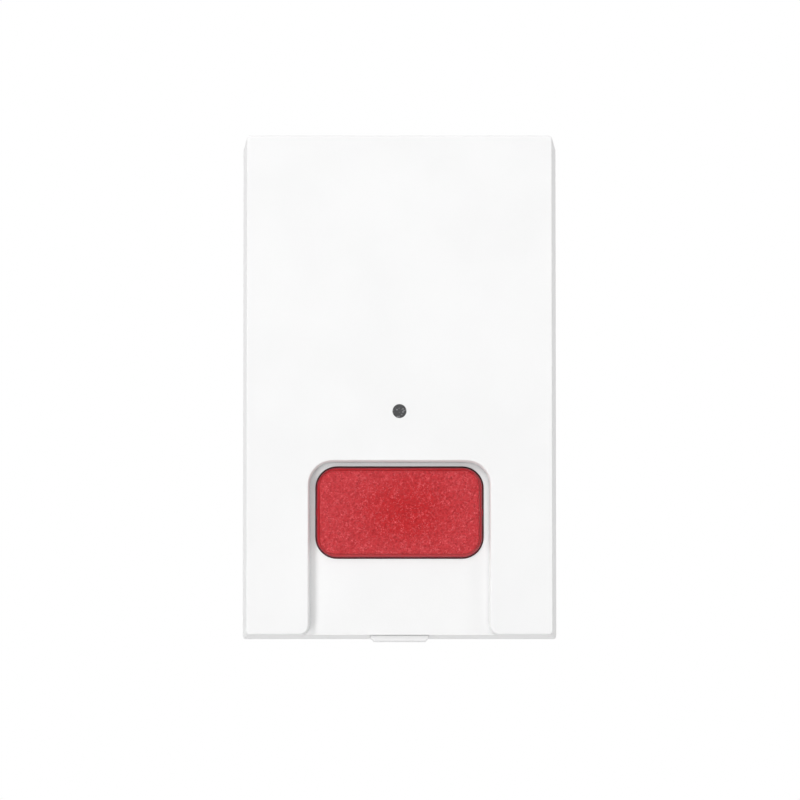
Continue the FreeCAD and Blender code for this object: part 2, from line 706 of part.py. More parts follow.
def screw(x, z, seat):
    """Pan-head screw with a cross recess: its head stands on the plane at depth seat, towards +Y."""
    bevel = SCREW_BEVEL
    steps = [(0, -SCREW_LENGTH), (SCREW_RADIUS - bevel, -SCREW_LENGTH),
             (SCREW_RADIUS, bevel - SCREW_LENGTH), (SCREW_RADIUS, 0),
             (HEAD_RADIUS, 0), (HEAD_RADIUS, HEAD_HEIGHT - bevel),
             (HEAD_RADIUS - bevel, HEAD_HEIGHT), (0, HEAD_HEIGHT)]
    points = [V(px, py, 0) for px, py in steps]
    turned = Part.Face(Part.makePolygon(points + points[:1])).revolve(V(0, 0, 0), V(0, 1, 0), 360)
    arm, half = DRIVE_REACH, DRIVE_WIDTH / 2
    deep = HEAD_HEIGHT - DRIVE_DEPTH
    cross = [box(-arm, arm, deep, HEAD_HEIGHT, -half, half), box(-half, half, deep, HEAD_HEIGHT, -arm, arm)]
    return turned.cut(cross).translated(V(x, seat, z))


def retainer_screws():
    return Part.makeCompound([screw(side * EAR_X, up(BUTTON_RISE), RETAINER_BACK) for side in (-1, 1)])


def board_screws():
    """Four screws whose heads sit on the front of the board."""
    spots = [(x, rise) for x in (-BOARD_SCREW_X, BOARD_SCREW_X) for rise in BOARD_SCREW_RISES]
    screws = []
    for x, rise in spots:
        turned = screw(0, 0, 0)
        turned.rotate(V(0, 0, 0), V(0, 0, 1), 180)
        screws.append(turned.translated(V(x, BOARD_FRONT, up(rise))))
    return Part.makeCompound(screws)


def coil(radius, wire, pitch, turns):
    """Wire wound about the Z axis, upwards from z = 0, with a flat-sided section."""
    path = Part.Wire(Part.makeHelix(pitch, pitch * turns, radius))
    slope = math.atan2(pitch, 2 * math.pi * radius)
    corners = []
    for index in range(WIRE_SIDES + 1):
        turn = 2 * math.pi * index / WIRE_SIDES
        out, rise = wire / 2 * math.cos(turn), wire / 2 * math.sin(turn)
        corners.append(V(radius + out, -rise * math.sin(slope), rise * math.cos(slope)))
    return path.makePipeShell([Part.makePolygon(corners)], True, True)


def button_spring(side):
    """Coil spring between the cup in the retainer and the back of the button."""
    low = FLANGE_BACK + SPRING_SEAT_GAP + SPRING_WIRE / 2
    high = CUP_FLOOR - SPRING_SEAT_GAP - SPRING_WIRE / 2
    pitch = (high - low) / SPRING_TURNS
    spring = coil(SPRING_RADIUS, SPRING_WIRE, pitch, SPRING_TURNS)
    spring.rotate(V(0, 0, 0), V(1, 0, 0), -90)
    return spring.translated(V(side * SPRING_X, low, up(BUTTON_RISE)))


def circuit_board():
    """Board with screw holes and a round gap over the lower wall screw."""
    middle = (BOARD_LOW + BOARD_TOP) / 2
    plate = rounded_block(0, up(middle), 2 * BOARD_HALF, BOARD_TOP - BOARD_LOW, BOARD_CORNER,
                          BOARD_FRONT, BOARD_BACK)
    spots = [(x, rise) for x in (-BOARD_SCREW_X, BOARD_SCREW_X) for rise in BOARD_SCREW_RISES]
    cuts = [rod(x, up(rise), BOARD_HOLE, BOARD_FRONT, BOARD_BACK) for x, rise in spots]
    cuts.append(rod(0, up(WALL_HOLE_RISES[0]), WALL_ACCESS_RADIUS, BOARD_FRONT, BOARD_BACK))
    return plate.cut(cuts)


def push_switch(x, rise):
    """Square switch body with a bore in which its stem moves."""
    z, half = up(rise), SWITCH_SIDE / 2
    body = box(x - half, x + half, BOARD_FRONT, SWITCH_FRONT, z - half, z + half)
    corners = edges_where(body, lambda edge: edge.BoundBox.YLength > SWITCH_BODY / 2)
    body = body.makeChamfer(SWITCH_CORNER, corners)
    collar = rod(x, z, STEM_RADIUS + SWITCH_COLLAR, SWITCH_FRONT, SWITCH_FRONT - SWITCH_COLLAR_HEIGHT)
    bore = rod(x, z, STEM_RADIUS + STEM_BORE_GAP, SWITCH_FRONT - STEM_OUT, SWITCH_FRONT + BORE_DEPTH)
    return body.fuse(collar).cut(bore)


def switch_stem(x, rise, pressed):
    """Round stem that reaches into the switch body; pressed is how far it is pushed in at rest."""
    tip = STEM_TIP + pressed
    root = SWITCH_FRONT + STEM_IN + pressed
    stem = rod(x, up(rise), STEM_RADIUS, tip, root)
    return stem.makeChamfer(STEM_BEVEL, edges_where(stem, lambda e: near(e.BoundBox.YMax, tip)))


def board_block(x, rise, width, height, depth, corner):
    """Component that stands on the front of the board."""
    return rounded_block(x, up(rise), width, height, corner, BOARD_FRONT, BOARD_FRONT - depth)


def indicator_led():
    half = LED_SIDE / 2
    z = up(LIGHT_RISE)
    base = box(-half, half, BOARD_FRONT, BOARD_FRONT - LED_HEIGHT / 2, z - half, z + half)
    tip = BOARD_FRONT - LED_HEIGHT
    dome = rod(0, z, LED_DOME_RADIUS, BOARD_FRONT - LED_HEIGHT / 2, tip)
    dome = dome.makeChamfer(LED_DOME_BEVEL, edges_where(dome, lambda e: near(e.BoundBox.YMax, tip)))
    return base.fuse(dome)


def radio_shield():
    """Folded tin can, open towards the board."""
    rise = board_rise(RADIO_SHARE)
    can = board_block(RADIO_X, rise, RADIO_WIDTH, RADIO_HEIGHT, RADIO_DEPTH, 2 * SHEET)
    top = BOARD_FRONT - RADIO_DEPTH
    can = can.makeFillet(SHEET, edges_where(can, lambda e: near(e.BoundBox.YMax, top)))
    inside = rounded_block(RADIO_X, up(rise), RADIO_WIDTH - 2 * SHEET, RADIO_HEIGHT - 2 * SHEET, SHEET,
                           BOARD_FRONT, top + SHEET)
    return can.cut(inside)


def microcontroller():
    """Flat square package with a sunk dot at one corner."""
    rise = board_rise(CHIP_SHARE)
    chip = board_block(CHIP_X, rise, CHIP_SIDE, CHIP_SIDE, CHIP_DEPTH, CHIP_CORNER)
    offset = CHIP_SIDE / 2 - CHIP_DOT_INSET
    top = BOARD_FRONT - CHIP_DEPTH
    dot = rod(CHIP_X - offset, up(rise) + offset, CHIP_DOT_RADIUS, top, top + CHIP_DOT_DEPTH)
    return chip.cut(dot)


def crystal():
    """Oval metal can on a wider foot."""
    rise = board_rise(CRYSTAL_SHARE)
    can = board_block(CRYSTAL_X, rise, CRYSTAL_LENGTH - 2 * SHEET, CRYSTAL_WIDTH - 2 * SHEET,
                      CRYSTAL_DEPTH, CRYSTAL_WIDTH / 2 - 2 * SHEET)
    foot = board_block(CRYSTAL_X, rise, CRYSTAL_LENGTH, CRYSTAL_WIDTH,
                       CRYSTAL_FOOT, CRYSTAL_WIDTH / 2 - SHEET)
    return can.fuse(foot)


def capacitor():
    """Round can with a pressed groove on a square plastic foot."""
    side, rise, groove = 2 * CAPACITOR_RADIUS + SHEET, board_rise(CAPACITOR_SHARE), CAPACITOR_GROOVE
    foot = board_block(CAPACITOR_X, rise, side, side, CAPACITOR_FOOT, 2 * SHEET)
    steps = [(0, 0), (CAPACITOR_RADIUS, 0), (CAPACITOR_RADIUS, groove),
             (CAPACITOR_RADIUS - SHEET, groove + SHEET), (CAPACITOR_RADIUS, groove + 2 * SHEET),
             (CAPACITOR_RADIUS, CAPACITOR_DEPTH - SHEET),
             (CAPACITOR_RADIUS - SHEET, CAPACITOR_DEPTH), (0, CAPACITOR_DEPTH)]
    points = [V(x, -y, 0) for x, y in steps]
    can = Part.Face(Part.makePolygon(points + points[:1])).revolve(V(0, 0, 0), V(0, 1, 0), 360)
    return foot.fuse(can.translated(V(CAPACITOR_X, BOARD_FRONT, up(rise))))


def antenna():
    """Wire wound upwards beside the radio, with a foot soldered to the board at its lower end."""
    winding = coil(ANTENNA_RADIUS, ANTENNA_WIRE, ANTENNA_SPACING, ANTENNA_TURNS)
    winding.translate(V(ANTENNA_X, BOARD_FRONT - ANTENNA_LIFT, up(ANTENNA_RISE)))
    leg = rod(ANTENNA_X + ANTENNA_RADIUS, up(ANTENNA_RISE), ANTENNA_FOOT_RADIUS,
              BOARD_FRONT - ANTENNA_LIFT - ANTENNA_FOOT_RADIUS, BOARD_FRONT)
    return winding.fuse(leg)


def header_rises():
    first = HEADER_RISE - HEADER_SPACING * (HEADER_PINS - 1) / 2
    return [first + HEADER_SPACING * index for index in range(HEADER_PINS)]


def setup_header():
    """Moulded block of a pin header, with square holes for its pins."""
    length = HEADER_SPACING * HEADER_PINS
    block = board_block(HEADER_X, HEADER_RISE, HEADER_BLOCK, length, HEADER_BLOCK, HEADER_CORNER)
    half = HEADER_PIN / 2
    cuts = [box(HEADER_X - half, HEADER_X + half, BOARD_FRONT, BOARD_FRONT - HEADER_BLOCK,
                up(rise) - half, up(rise) + half) for rise in header_rises()]
    return block.cut(cuts)


def header_pins():
    half = HEADER_PIN / 2
    pins = []
    for rise in header_rises():
        pin = box(HEADER_X - half, HEADER_X + half, BOARD_FRONT, BOARD_FRONT - HEADER_DEPTH,
                  up(rise) - half, up(rise) + half)
        tip = BOARD_FRONT - HEADER_DEPTH
        end = edges_where(pin, lambda edge: near(edge.BoundBox.YMax, tip))
        pins.append(pin.makeChamfer(HEADER_PIN_BEVEL, end))
    return Part.makeCompound(pins)


def chip_resistors():
    """Small blocks with bevelled tops."""
    top, blocks = BOARD_FRONT - RESISTOR_DEPTH, []
    for x, share in zip(RESISTOR_XS, RESISTOR_SHARES):
        z, across, along = up(board_rise(share)), RESISTOR_LENGTH / 2, RESISTOR_WIDTH / 2
        block = box(x - across, x + across, BOARD_FRONT, top, z - along, z + along)
        edges = edges_where(block, lambda edge: near(edge.BoundBox.YMax, top))
        blocks.append(block.makeChamfer(RESISTOR_BEVEL, edges))
    return Part.makeCompound(blocks)


def battery():
    """Cell along X with a raised nub at the right and a rolled groove beside it."""
    bump = CRADLE_HALF + CONTACT_FIT - CONTACT_BUMP
    right = bump - CONTACT_GAP
    left = right - CELL_LENGTH
    shoulder = right - CELL_NUB_LENGTH
    bevel = CELL_NUB_LENGTH / 2
    steps = [(left, 0), (left, CELL_RADIUS - bevel), (left + bevel, CELL_RADIUS),
             (shoulder - 3 * bevel, CELL_RADIUS), (shoulder - 2 * bevel, CELL_RADIUS - bevel),
             (shoulder - bevel, CELL_RADIUS - bevel / 4), (shoulder, CELL_RADIUS - bevel),
             (shoulder, CELL_NUB_RADIUS), (right, CELL_NUB_RADIUS), (right, 0)]
    points = [V(x, y, 0) for x, y in steps]
    cell = Part.Face(Part.makePolygon(points + points[:1])).revolve(V(0, 0, 0), V(1, 0, 0), 360)
    return cell.translated(V(0, CELL_Y, up(CELL_RISE)))


def contact_plate(side):
    """Square spring-steel plate with a tail that bends onto the board."""
    z, half = up(CELL_RISE), CONTACT_SIDE / 2
    near_x = side * (CRADLE_HALF + CONTACT_FIT)
    far_x = side * (CRADLE_HALF + CONTACT_FIT + CONTACT_THICK)
    plate = box(near_x, far_x, CELL_Y - half, CELL_Y + half, z - half, z + half)
    front = BOARD_FRONT - SOLDER
    tail = box(near_x, far_x, front - TAIL_WIDTH, front, up(TAIL_END_RISE), z)
    foot = box(near_x - side * TAIL_WIDTH, far_x, front - CONTACT_THICK, front,
               up(TAIL_END_RISE), up(TAIL_END_RISE) + TAIL_FOOT)
    return plate.fuse([tail, foot])


def battery_contact_positive():
    """Plate with a pressed bump that meets the nub."""
    start = CRADLE_HALF + CONTACT_FIT
    bump = Part.makeCone(CELL_NUB_RADIUS, CELL_NUB_RADIUS / 2, CONTACT_BUMP,
                         V(start, CELL_Y, up(CELL_RISE)), V(-1, 0, 0))
    return contact_plate(1).fuse(bump).removeSplitter()


def battery_contact_negative():
    """Plate with a coil of wire that presses on the flat end."""
    left = CRADLE_HALF + CONTACT_FIT - CONTACT_BUMP - CONTACT_GAP - CELL_LENGTH
    start = -CRADLE_HALF - CONTACT_FIT
    reach = left - CONTACT_GAP - start - COIL_WIRE / 2
    winding = coil(COIL_RADIUS, COIL_WIRE, reach / COIL_TURNS, COIL_TURNS)
    winding.rotate(V(0, 0, 0), V(0, 1, 0), 90)
    return contact_plate(-1).fuse(winding.translated(V(start, CELL_Y, up(CELL_RISE))))


def save(name, shape):
    if not shape.isValid():
        raise ValueError(name + " is not a valid solid")
    shape.exportStep(os.path.join("parts", name + ".step"))


def main():
    os.makedirs("parts", exist_ok=True)
    save("rear_base", rear_base())
    save("front_cover", front_cover())
    save("button_cap", button_cap())
    save("light_pipe", light_pipe())
    save("button_retainer", button_retainer())
    save("retainer_screws", retainer_screws())
    save("button_spring_left", button_spring(-1))
    save("button_spring_right", button_spring(1))
    save("circuit_board", circuit_board())
    save("board_screws", board_screws())
    for side, name in ((-1, "left"), (1, "right")):
        save("panic_switch_" + name, push_switch(side * POST_X, BUTTON_RISE))
        save("switch_stem_" + name, switch_stem(side * POST_X, BUTTON_RISE, 0))
    save("tamper_switch", push_switch(TAMPER_X, board_rise(TAMPER_SHARE)))
    save("tamper_stem", switch_stem(TAMPER_X, board_rise(TAMPER_SHARE), TAMPER_TRAVEL))
    save("indicator_led", indicator_led())
    save("radio_shield", radio_shield())
    save("microcontroller", microcontroller())
    save("crystal", crystal())
    save("capacitor", capacitor())
    save("antenna", antenna())
    save("setup_header", setup_header())
    save("header_pins", header_pins())
    save("chip_resistors", chip_resistors())
    save("battery", battery())
    save("battery_contact_positive", battery_contact_positive())
    save("battery_contact_negative", battery_contact_negative())


main()
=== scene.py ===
import math

import bpy
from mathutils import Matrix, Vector


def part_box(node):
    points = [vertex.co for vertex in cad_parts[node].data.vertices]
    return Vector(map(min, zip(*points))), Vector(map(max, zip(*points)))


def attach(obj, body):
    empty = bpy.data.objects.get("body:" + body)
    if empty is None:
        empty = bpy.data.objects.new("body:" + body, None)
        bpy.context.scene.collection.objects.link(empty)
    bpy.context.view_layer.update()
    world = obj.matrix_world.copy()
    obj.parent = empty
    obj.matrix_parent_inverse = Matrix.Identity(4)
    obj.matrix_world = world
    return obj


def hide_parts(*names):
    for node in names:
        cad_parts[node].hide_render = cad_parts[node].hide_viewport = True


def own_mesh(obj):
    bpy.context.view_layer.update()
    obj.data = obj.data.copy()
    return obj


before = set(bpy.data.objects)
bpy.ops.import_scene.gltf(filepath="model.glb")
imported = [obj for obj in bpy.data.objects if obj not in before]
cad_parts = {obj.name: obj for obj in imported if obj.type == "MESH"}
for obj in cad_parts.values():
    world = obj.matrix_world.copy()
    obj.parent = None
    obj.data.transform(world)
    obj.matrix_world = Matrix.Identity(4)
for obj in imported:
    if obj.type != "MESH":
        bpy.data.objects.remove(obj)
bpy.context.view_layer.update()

MM = 0.001

# The photograph's view of the front face
IMAGE_PX = 800
PX_PER_MM = 5.709
CAMERA_DISTANCE = 1.0
CAMERA_RISE_DEG = 3.76
SENSOR_MM = 36.0
CLIP_START, CLIP_END = 0.01, 50.0
FRONT_CENTRE_PX = 399.5
FRONT_BOTTOM_PX = 634.3

# Places worked out from the frame; the front is shorter than the base by the taper at each end
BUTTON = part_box("button_cap")
FRONT_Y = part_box("front_cover")[0].y
END_TAPER = 0.3 * MM
FRONT_LOW_Z = END_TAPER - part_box("rear_base")[1].z

# Looks that several materials share
CLOUD = (0.3, 0.7)
MOULDED_EDGE = 0.25 * MM
METAL_EDGE, METAL_WEAR = 0.15 * MM, 0.5
EVEN = (900.0, 900.0, 900.0)

# Moulded pieces: colour, roughness, grain per metre, grain depth in metres, edge wear, nodes
MOULDINGS = {
    "retainer_plastic": ((0.62, 0.61, 0.57), 0.5, 2200.0, 0.00002, 0.0, ["button_retainer"]),
    "black_moulding": ((0.022, 0.022, 0.023), 0.42, 3000.0, 0.00002, 0.14,
                       ["panic_switch_left", "panic_switch_right", "tamper_switch", "setup_header"]),
    "stem_moulding": ((0.50, 0.46, 0.36), 0.45, 3000.0, 0.00001, 0.0,
                      ["switch_stem_left", "switch_stem_right", "tamper_stem"]),
    "chip_epoxy": ((0.015, 0.015, 0.017), 0.6, 5200.0, 0.00003, 0.10, ["microcontroller"]),
    "resistor_body": ((0.03, 0.03, 0.035), 0.4, 3000.0, 0.00001, 0.5, ["chip_resistors"]),
}

# The indicator's clear resin: colour, roughness, grain per metre, grain depth; and the share let through
LAMP_RESIN, LAMP_CLEAR = ((0.80, 0.79, 0.70), 0.2, 3000.0, 0.00001), 0.3

# Metal pieces: colour, roughness, streaks per metre along X, Y and Z, nodes
METALS = {
    "zinc_screw": ((0.62, 0.62, 0.64), 0.34, EVEN, ["retainer_screws", "board_screws"]),
    "spring_wire": ((0.55, 0.55, 0.56), 0.25, EVEN, ["button_spring_left", "button_spring_right"]),
    "tinned_sheet": ((0.66, 0.66, 0.65), 0.36, (200.0, 200.0, 3200.0), ["radio_shield"]),
    "drawn_can": ((0.62, 0.62, 0.63), 0.40, (2400.0, 300.0, 300.0), ["crystal", "capacitor"]),
    "antenna_wire": ((0.72, 0.33, 0.16), 0.3, EVEN, ["antenna"]),
    "gold_pin": ((0.86, 0.62, 0.24), 0.25, EVEN, ["header_pins"]),
    "nickel_contact": ((0.66, 0.64, 0.60), 0.3, EVEN,
                       ["battery_contact_positive", "battery_contact_negative"]),
}

# Strength of the tent light all round, and the lamps: name, place in metres, side, watts
AMBIENT = 0.48
LAMPS = (
    ("key", (-0.75, -1.0, 0.90), 0.36, 7.3),
    ("low_left", (-0.80, -1.0, -0.5), 0.36, 4.6),
    ("right", (1.25, -0.7, 0.1), 0.36, 2.6),
    ("top", (0.0, -0.6, 1.25), 0.30, 2.0),
    ("below", (0.0, -1.0, -0.7), 0.30, 0.7),
    ("near", (0.10, -0.42, 0.28), 0.15, 0.19),
)


def add(tree, kind, props=None, **inputs):
    """New node of a kind; each input, by name or as i and its number, is a value or an output."""
    node = tree.nodes.new(kind)
    for key, value in (props or {}).items():
        setattr(node, key, value)
    for key, value in inputs.items():
        numbered = key[0] == "i" and key[1:].isdigit()
        socket = node.inputs[int(key[1:]) if numbered else key.replace("_", " ")]
        if isinstance(value, bpy.types.NodeSocket):
            tree.links.new(value, socket)
        else:
            socket.default_value = value
    return node


def maths(tree, operation, *values):
    return add(tree, "ShaderNodeMath", {"operation": operation},
               **{f"i{index}": value for index, value in enumerate(values)}).outputs[0]


def vectors(tree, operation, *values):
    node = add(tree, "ShaderNodeVectorMath", {"operation": operation},
               **{f"i{index}": value for index, value in enumerate(values)})
    return node.outputs["Value"] if operation in ("LENGTH", "DOT_PRODUCT") else node.outputs["Vector"]


def spot(tree):
    """Place on the surface in the row frame, in metres."""
    return add(tree, "ShaderNodeTexCoord").outputs["Object"]


def noise(tree, scale, detail=2.0, roughness=0.5, vector=None):
    vector = vector or spot(tree)
    return add(tree, "ShaderNodeTexNoise", Vector=vector, Scale=scale, Detail=detail,
               Roughness=roughness).outputs["Fac"]


def ramp(tree, value, low, high, start=0.0, end=1.0):
    """value from low..high mapped smoothly onto start..end."""
    node = add(tree, "ShaderNodeMapRange", {"interpolation_type": "SMOOTHSTEP"}, Value=value)
    for name, number in (("From Min", low), ("From Max", high), ("To Min", start), ("To Max", end)):
        node.inputs[name].default_value = number
    return node.outputs["Result"]


def mix(tree, factor, first, second):
    """Colour between first and second; the numbers are the Mix node's colour sockets."""
    node = add(tree, "ShaderNodeMix", {"data_type": "RGBA"})
    for index, value in ((0, factor), (6, first), (7, second)):
        if isinstance(value, bpy.types.NodeSocket):
            tree.links.new(value, node.inputs[index])
        else:
            node.inputs[index].default_value = value if index == 0 else (*value, 1)
    return node.outputs[2]


def bump(tree, height, distance, strength=1.0, normal=None):
    node = add(tree, "ShaderNodeBump", Height=height, Distance=distance, Strength=strength)
    if normal is not None:
        tree.links.new(normal, node.inputs["Normal"])
    return node.outputs["Normal"]


def new_material(name, colour, roughness, **sockets):
    """Principled material; constants sit on the shader's own sockets."""
    material = bpy.data.materials.new(name)
    material.use_nodes = True
    tree = material.node_tree
    shader = tree.nodes["Principled BSDF"]
    shader.inputs["Base Color"].default_value = (*colour, 1)
    shader.inputs["Roughness"].default_value = roughness
    for key, value in sockets.items():
        shader.inputs[key.replace("_", " ")].default_value = value
    return material, tree, shader


def tint(colour, amount):
    return tuple(min(1.0, channel * amount) for channel in colour)


def mottle(tree, shader, colour, scale, amount):
    """Slight cloudy change of colour."""
    cloud = ramp(tree, noise(tree, scale), *CLOUD)
    cloudy = mix(tree, cloud, tint(colour, 1 - amount), tint(colour, 1 + amount))
    tree.links.new(cloudy, shader.inputs["Base Color"])


def worn_edges(tree, shader, radius, amount):
    """Colour lightened along the sharp edges, broken up by a fine noise."""
    edge_bend, patches, rubbed_pale = (0.02, 0.16), (0.35, 0.6), (0.8, 0.8, 0.8)
    patch_scale = 1300.0
    rounded = add(tree, "ShaderNodeBevel", {"samples": 4}, Radius=radius).outputs["Normal"]
    true = add(tree, "ShaderNodeNewGeometry").outputs["Normal"]
    bend = maths(tree, "SUBTRACT", 1.0, vectors(tree, "DOT_PRODUCT", rounded, true))
    broken = ramp(tree, noise(tree, patch_scale, 3.0), *patches)
    rubbed = maths(tree, "MULTIPLY", ramp(tree, bend, *edge_bend), broken)
    colour = shader.inputs["Base Color"].links[0].from_socket
    lighter = mix(tree, maths(tree, "MULTIPLY", rubbed, amount), colour, rubbed_pale)
    tree.links.new(lighter, shader.inputs["Base Color"])


def uneven_gloss(tree, shader, value, low, high):
    """Roughness from low to high as a noise goes through the middle of its range."""
    tree.links.new(ramp(tree, value, *CLOUD, low, high), shader.inputs["Roughness"])


def moulded(name, colour, roughness, grain, depth, wear=0.0, **sockets):
    """Moulded plastic: fine grain, slight flow waves, uneven gloss and, with wear, rubbed edges."""
    material, tree, shader = new_material(name, colour, roughness, **sockets)
    cloud_scale, cloud_amount, gloss_scale = 60.0, 0.012, 220.0
    wave_scale, wave_height = 28.0, 0.00004
    mottle(tree, shader, colour, cloud_scale, cloud_amount)
    uneven_gloss(tree, shader, noise(tree, gloss_scale, 4.0), roughness - 0.015, roughness + 0.025)
    waves = bump(tree, noise(tree, wave_scale, 1.0), wave_height, 0.5)
    fine = bump(tree, noise(tree, grain, 3.0), depth, 1.0, waves)
    tree.links.new(fine, shader.inputs["Normal"])
    if wear:
        worn_edges(tree, shader, MOULDED_EDGE, wear)
    return material


def white_housing():
    """White moulding with painted shade: its colour turns grey in the recesses and joints, where ambient
    occlusion finds it closed in.
    """
    white, shade_grey = (0.84, 0.84, 0.84), (0.40, 0.43, 0.43)
    recess_reach, shade_to_unshaded = 2.0 * MM, (0.25, 0.72)
    material = moulded("white_housing", white, 0.42, 2600.0, 0.00001, Specular_IOR_Level=0.45)
    tree = material.node_tree
    shader = tree.nodes["Principled BSDF"]
    unshaded = shader.inputs["Base Color"].links[0].from_socket
    # Painted shade: the colour goes grey where little is open around it, standing in for the shade in
    # recesses and gaps
    openness = add(tree, "ShaderNodeAmbientOcclusion", {"samples": 12}, Distance=recess_reach)
    painted_shade = ramp(tree, openness.outputs["AO"], *shade_to_unshaded, 1.0, 0.0)
    tree.links.new(mix(tree, painted_shade, unshaded, shade_grey), shader.inputs["Base Color"])
    return material


def metal(name, colour, roughness, streaks):
    """Metal with fine drawn or rolled streaks, given per metre along X, Y and Z."""
    material, tree, shader = new_material(name, colour, roughness, Metallic=1.0)
    cloud_scale, cloud_amount, streak_height = 300.0, 0.05, 0.00001
    mottle(tree, shader, colour, cloud_scale, cloud_amount)
    stretched = vectors(tree, "MULTIPLY", spot(tree), streaks)
    lines = noise(tree, 1.0, 3.0, 0.6, stretched)
    uneven_gloss(tree, shader, lines, roughness - 0.06, roughness + 0.1)
    tree.links.new(bump(tree, lines, streak_height, 0.6), shader.inputs["Normal"])
    worn_edges(tree, shader, METAL_EDGE, METAL_WEAR)
    return material


def field_mask(tree, half_width, half_height, corner, centre_z, soft):
    """1 inside a rounded rectangle on the button's face, 0 outside."""
    place = vectors(tree, "SUBTRACT", spot(tree), (0, 0, centre_z))
    folded = vectors(tree, "MULTIPLY", vectors(tree, "ABSOLUTE", place), (1, 0, 1))
    corner_at = (half_width - corner, 0, half_height - corner)
    outside = vectors(tree, "MAXIMUM", vectors(tree, "SUBTRACT", folded, corner_at), (0, 0, 0))
    distance = maths(tree, "SUBTRACT", vectors(tree, "LENGTH", outside), corner)
    return ramp(tree, distance, -soft, soft, 1.0, 0.0)


def voronoi(tree, scale, feature="F1"):
    """Distance to the nearest of points scattered through space."""
    node = add(tree, "ShaderNodeTexVoronoi", {"feature": feature}, Vector=spot(tree), Scale=scale)
    return node.outputs["Distance"]


def red_button():
    """Spark-eroded field with worm-like painted glints, painted shade in its pits and a painted pinkish
    sheen away from the middle, in a smooth border with a painted shade rim at its outer edge."""
    red, painted_sheen, pit_shade = (0.505, 0.0050, 0.0090), (0.540, 0.0270, 0.0350), (0.330, 0.0040, 0.0080)
    painted_glint, rim_shade_red = (0.92, 0.155, 0.175), (0.300, 0.0045, 0.0180)
    pit_scale, grain_scale, worm_scale = 2600.0, 2100.0, 1500.0
    speck_scale, patch_scale, ragged_scale = 2700.0, 1000.0, 170.0
    worm_width, speck_size = (0.004, 0.045), (0.08, 0.34)
    patch_edge, pit_edge, ragged_by = (0.36, 0.58), (0.40, 0.52), 6 * MM
    worm_share, speck_share, pit_shade_share, texture_height = 0.34, 0.55, 0.45, 0.00045
    flange, border, field_corner, field_soft = 1.2 * MM, 0.55 * MM, 2.8 * MM, 0.10 * MM
    rim_width, rim_corner, rim_soft = 0.28 * MM, 3.3 * MM, 0.22 * MM
    middle_x, middle_stretch, sheen_reach = 1.2 * MM, (1, 0, 1.5), (5.0 * MM, 16.0 * MM)
    border_gloss, field_gloss, border_coat = 0.24, 0.36, 0.5

    material, tree, shader = new_material("red_button", red, 0.34, Specular_IOR_Level=0.26,
                                          Coat_Roughness=0.14)
    half = (BUTTON[1] - BUTTON[0]) / 2
    centre = (BUTTON[1].z + BUTTON[0].z) / 2
    width, height = half.x - flange, half.z - flange
    inside = field_mask(tree, width - border, height - border, field_corner, centre, field_soft)
    # Painted shade: a dark wine ring along the cap's outer edge stands in for the shade in the gap round
    # the button
    rim_shade = field_mask(tree, width - rim_width, height - rim_width, rim_corner, centre, rim_soft)

    pits = noise(tree, pit_scale, 2.0, 0.6)
    grains = voronoi(tree, grain_scale, "SMOOTH_F1")
    texture = maths(tree, "ADD", maths(tree, "MULTIPLY", pits, 0.8),
                    maths(tree, "MULTIPLY", grains, 0.5))
    relief = maths(tree, "MULTIPLY", texture, inside)
    tree.links.new(bump(tree, relief, texture_height, 1.0), shader.inputs["Normal"])

    # Painted highlights: worm-like lines and specks lighten the field's colour as glints
    ridge = maths(tree, "ABSOLUTE", maths(tree, "SUBTRACT", noise(tree, worm_scale, 1.0), 0.5))
    worms = ramp(tree, ridge, *worm_width, 1.0, 0.0)
    specks = ramp(tree, voronoi(tree, speck_scale), *speck_size, 1.0, 0.0)
    patches = ramp(tree, noise(tree, patch_scale, 3.0), *patch_edge)
    bright = maths(tree, "ADD", maths(tree, "MULTIPLY", worms, worm_share),
                   maths(tree, "MULTIPLY", specks, speck_share))
    painted_sparkle = maths(tree, "MULTIPLY", maths(tree, "MULTIPLY", bright, patches), inside)
    # Painted shade: the colour darkens in the low hollows of the pitted texture
    hollow_shade = maths(tree, "MULTIPLY", ramp(tree, pits, *pit_edge, 1.0, 0.0), inside)

    # Painted sheen: the red turns pinker away from the middle, standing in for a broad reflection of the
    # lamps
    middle = vectors(tree, "SUBTRACT", spot(tree), (middle_x, 0, centre))
    reach = vectors(tree, "LENGTH", vectors(tree, "MULTIPLY", middle, middle_stretch))
    wander = maths(tree, "MULTIPLY", noise(tree, ragged_scale, 2.0), ragged_by)
    ragged = maths(tree, "ADD", reach, wander)
    field = mix(tree, ramp(tree, ragged, *sheen_reach), red, painted_sheen)
    pit_shaded = mix(tree, maths(tree, "MULTIPLY", hollow_shade, pit_shade_share), field, pit_shade)
    worked = mix(tree, inside, tint(red, 1.04), mix(tree, painted_sparkle, pit_shaded, painted_glint))
    tree.links.new(mix(tree, rim_shade, rim_shade_red, worked), shader.inputs["Base Color"])
    gloss = ramp(tree, inside, 0.0, 1.0, border_gloss, field_gloss)
    tree.links.new(gloss, shader.inputs["Roughness"])
    tree.links.new(ramp(tree, inside, 0.0, 1.0, border_coat, 0.0), shader.inputs["Coat Weight"])
    return material


